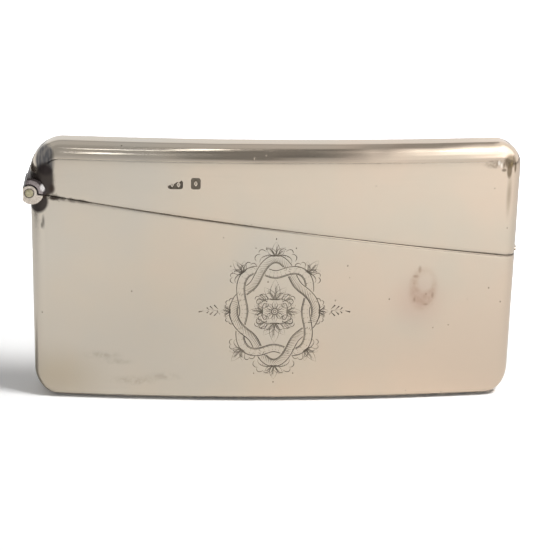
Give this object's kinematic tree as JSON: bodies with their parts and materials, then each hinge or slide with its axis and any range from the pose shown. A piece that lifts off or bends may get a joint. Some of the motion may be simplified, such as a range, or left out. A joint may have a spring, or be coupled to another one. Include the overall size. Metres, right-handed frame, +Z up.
{
  "type": "card case",
  "caption": "Curved silver pocket case for cards, with a slanting lid on a knuckle hinge at its left end and a friction rim inside the mouth.",
  "frame": {"origin": "on the resting face of the base, in the middle of the case", "axes": "+X along the case to its free end, +Y from the convex front to the back, +Z up to the lid"},
  "size_m": [0.098, 0.012, 0.0525],
  "materials": {
    "polished_silver": "polished and worn",
    "inner_silver": "satin, lightly tarnished",
    "hinge_silver": "polished, dark in the joints",
    "pin_metal": "filed flush, dull"
  },
  "bodies": {
    "body": {"body_front": "polished_silver", "body_back": "polished_silver", "base_plate": "polished_silver", "inner_rim": "inner_silver", "body_bearer": "hinge_silver", "front_knuckle": "hinge_silver", "rear_knuckle": "hinge_silver", "hinge_pin": "pin_metal"},
    "lid": {"lid_front": "polished_silver", "lid_back": "polished_silver", "lid_bearer": "hinge_silver", "lid_knuckle": "hinge_silver", "thumb_piece": "polished_silver"}
  },
  "joints": [
    {"name": "lid_hinge", "type": "hinge", "parent": "body", "child": "lid", "pos_m": [-0.0482, 0.00292, 0.0424], "axis": [0, -1, 0], "range_deg": [0, 100]}
  ]
}
